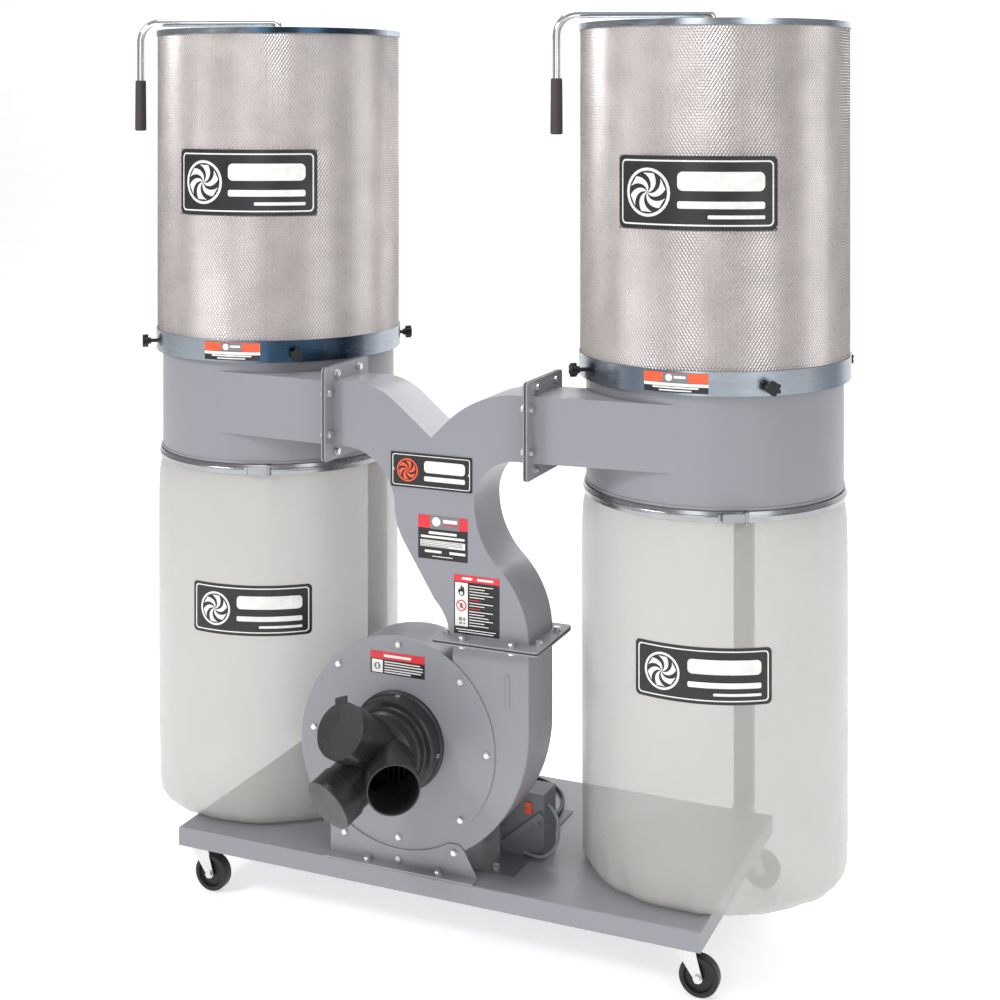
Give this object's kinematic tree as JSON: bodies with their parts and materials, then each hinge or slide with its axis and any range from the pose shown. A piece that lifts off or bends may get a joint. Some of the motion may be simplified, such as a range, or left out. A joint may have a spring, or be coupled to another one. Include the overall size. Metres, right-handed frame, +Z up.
{
  "type": "dust collector",
  "caption": "Mobile dust collector: blower with three hose ports, forked duct, two crank-cleaned filter canisters above clear dust bags, all on a tray with casters",
  "frame": {"origin": "bottom centre of the whole machine's bounding box, on the floor", "axes": "+X right seen from the front, +Y to the back, +Z up; the hose ports face -Y"},
  "size_m": [1.5672, 0.777, 1.816],
  "materials": {
    "blue_grey_paint": "gloss powder coat",
    "dark_grey_paint": "semi-gloss paint",
    "galvanised": "rolled galvanised sheet",
    "zinc_steel": "bright zinc plating",
    "chrome": "polished chrome",
    "bronze": "sintered bronze",
    "cast_iron": "painted casting",
    "black_plastic": "moulded, semi-gloss",
    "red_plastic": "moulded rocker",
    "clear_bag": "milky translucent film",
    "filter_cloth": "pleated filter media",
    "expanded_mesh": "expanded metal",
    "rubber": "soft rubber",
    "wheel_rubber": "moulded wheel",
    "cord_jacket": "cord jacket",
    "lead_jacket": "grey lead jacket"
  },
  "bodies": {
    "root": {"bag_clamps": "zinc_steel", "base_plate": "blue_grey_paint", "bearings": "bronze", "blower_housing": "blue_grey_paint", "caster_mounts": "zinc_steel", "cord_coil": "cord_jacket", "fan_cover": "dark_grey_paint", "filter_media": "filter_cloth", "front_foot": "blue_grey_paint", "gaskets": "rubber", "housing_cover": "blue_grey_paint", "housing_fasteners": "zinc_steel", "inlet_adapter": "black_plastic", "left_drum": "blue_grey_paint", "left_dust_bag": "clear_bag", "lower_rings": "galvanised", "machine_bolts": "zinc_steel", "mesh_guards": "expanded_mesh", "motor_body": "blue_grey_paint", "motor_boxes": "dark_grey_paint", "motor_end_bells": "blue_grey_paint", "motor_lead": "lead_jacket", "motor_stand": "dark_grey_paint", "plug": "black_plastic", "power_cord": "cord_jacket", "right_drum": "blue_grey_paint", "right_dust_bag": "clear_bag", "strain_relief": "rubber", "support_posts": "dark_grey_paint", "switch_box": "dark_grey_paint", "top_caps": "blue_grey_paint", "y_duct": "blue_grey_paint"},
    "rotor": {"motor_shaft": "zinc_steel", "impeller": "cast_iron", "cooling_fan": "black_plastic"},
    "front_left_fork": {"front_left_fork": "zinc_steel"},
    "front_left_wheel": {"front_left_wheel": "wheel_rubber"},
    "front_right_fork": {"front_right_fork": "zinc_steel"},
    "front_right_wheel": {"front_right_wheel": "wheel_rubber"},
    "rear_left_fork": {"rear_left_fork": "zinc_steel"},
    "rear_left_wheel": {"rear_left_wheel": "wheel_rubber"},
    "rear_right_fork": {"rear_right_fork": "zinc_steel"},
    "rear_right_wheel": {"rear_right_wheel": "wheel_rubber"},
    "left_crank": {"left_crank": "chrome", "left_grip": "black_plastic"},
    "left_knob_1": {"left_knob_1": "black_plastic"},
    "left_knob_2": {"left_knob_2": "black_plastic"},
    "left_knob_3": {"left_knob_3": "black_plastic"},
    "left_knob_4": {"left_knob_4": "black_plastic"},
    "right_crank": {"right_crank": "chrome", "right_grip": "black_plastic"},
    "right_knob_1": {"right_knob_1": "black_plastic"},
    "right_knob_2": {"right_knob_2": "black_plastic"},
    "right_knob_3": {"right_knob_3": "black_plastic"},
    "right_knob_4": {"right_knob_4": "black_plastic"},
    "left_latch": {"left_latch": "zinc_steel"},
    "right_latch": {"right_latch": "zinc_steel"},
    "upper_port_cap": {"upper_port_cap": "black_plastic"},
    "lower_port_cap": {"lower_port_cap": "black_plastic"},
    "switch_rocker": {"switch_rocker": "red_plastic"}
  },
  "joints": [
    {"name": "rotor_spin", "type": "hinge", "parent": "root", "child": "rotor", "pos_m": [-0.0429, 0.0535, 0.3795], "axis": [0, 1, 0], "continuous": true},
    {"name": "front_left_swivel", "type": "hinge", "parent": "root", "child": "front_left_fork", "pos_m": [-0.5029, -0.1585, 0.088], "axis": [0, 0, 1], "continuous": true},
    {"name": "front_left_roll", "type": "hinge", "parent": "front_left_fork", "child": "front_left_wheel", "pos_m": [-0.4799, -0.1585, 0.0375], "axis": [0, 1, 0], "continuous": true},
    {"name": "front_right_swivel", "type": "hinge", "parent": "root", "child": "front_right_fork", "pos_m": [0.5411, -0.1585, 0.088], "axis": [0, 0, 1], "continuous": true},
    {"name": "front_right_roll", "type": "hinge", "parent": "front_right_fork", "child": "front_right_wheel", "pos_m": [0.5641, -0.1585, 0.0375], "axis": [0, 1, 0], "continuous": true},
    {"name": "rear_left_swivel", "type": "hinge", "parent": "root", "child": "rear_left_fork", "pos_m": [-0.5029, 0.2995, 0.088], "axis": [0, 0, 1], "continuous": true},
    {"name": "rear_left_roll", "type": "hinge", "parent": "rear_left_fork", "child": "rear_left_wheel", "pos_m": [-0.4799, 0.2995, 0.0375], "axis": [0, 1, 0], "continuous": true},
    {"name": "rear_right_swivel", "type": "hinge", "parent": "root", "child": "rear_right_fork", "pos_m": [0.5411, 0.2995, 0.088], "axis": [0, 0, 1], "continuous": true},
    {"name": "rear_right_roll", "type": "hinge", "parent": "rear_right_fork", "child": "rear_right_wheel", "pos_m": [0.5641, 0.2995, 0.0375], "axis": [0, 1, 0], "continuous": true},
    {"name": "left_crank_turn", "type": "hinge", "parent": "root", "child": "left_crank", "pos_m": [-0.4779, 0.1035, 1.787], "axis": [0, 0, 1], "continuous": true},
    {"name": "left_knob_1_turn", "type": "hinge", "parent": "root", "child": "left_knob_1", "pos_m": [-0.25973, 0.27091, 1.113], "axis": [0.7934, 0.6088, 0], "continuous": true},
    {"name": "left_knob_2_turn", "type": "hinge", "parent": "root", "child": "left_knob_2", "pos_m": [-0.64531, 0.32167, 1.113], "axis": [-0.6088, 0.7934, 0], "continuous": true},
    {"name": "left_knob_3_turn", "type": "hinge", "parent": "root", "child": "left_knob_3", "pos_m": [-0.69607, -0.06391, 1.113], "axis": [-0.7934, -0.6088, 0], "continuous": true},
    {"name": "left_knob_4_turn", "type": "hinge", "parent": "root", "child": "left_knob_4", "pos_m": [-0.31049, -0.11467, 1.113], "axis": [0.6088, -0.7934, 0], "continuous": true},
    {"name": "right_crank_turn", "type": "hinge", "parent": "root", "child": "right_crank", "pos_m": [0.5161, 0.1035, 1.787], "axis": [0, 0, 1], "continuous": true},
    {"name": "right_knob_1_turn", "type": "hinge", "parent": "root", "child": "right_knob_1", "pos_m": [0.73427, 0.27091, 1.113], "axis": [0.7934, 0.6088, 0], "continuous": true},
    {"name": "right_knob_2_turn", "type": "hinge", "parent": "root", "child": "right_knob_2", "pos_m": [0.34869, 0.32167, 1.113], "axis": [-0.6088, 0.7934, 0], "continuous": true},
    {"name": "right_knob_3_turn", "type": "hinge", "parent": "root", "child": "right_knob_3", "pos_m": [0.29793, -0.06391, 1.113], "axis": [-0.7934, -0.6088, 0], "continuous": true},
    {"name": "right_knob_4_turn", "type": "hinge", "parent": "root", "child": "right_knob_4", "pos_m": [0.68351, -0.11467, 1.113], "axis": [0.6088, -0.7934, 0], "continuous": true},
    {"name": "left_latch_swing", "type": "hinge", "parent": "root", "child": "left_latch", "pos_m": [-0.36252, -0.13306, 0.8725], "axis": [0, 0, 1], "range_deg": [0, 150]},
    {"name": "right_latch_swing", "type": "hinge", "parent": "root", "child": "right_latch", "pos_m": [0.6437, -0.1267, 0.8725], "axis": [0, 0, 1], "range_deg": [0, 150]},
    {"name": "upper_cap_pull", "type": "slide", "parent": "root", "child": "upper_port_cap", "axis": [-0.1843, -0.8425, 0.5063], "range_m": [0, 0.045]},
    {"name": "lower_cap_pull", "type": "slide", "parent": "root", "child": "lower_port_cap", "axis": [-0.3463, -0.8425, -0.4127], "range_m": [0, 0.045]},
    {"name": "rocker_tilt", "type": "hinge", "parent": "root", "child": "switch_rocker", "pos_m": [0.1791, -0.0415, 0.233], "axis": [1, 0, 0], "range_deg": [0, 18]}
  ]
}
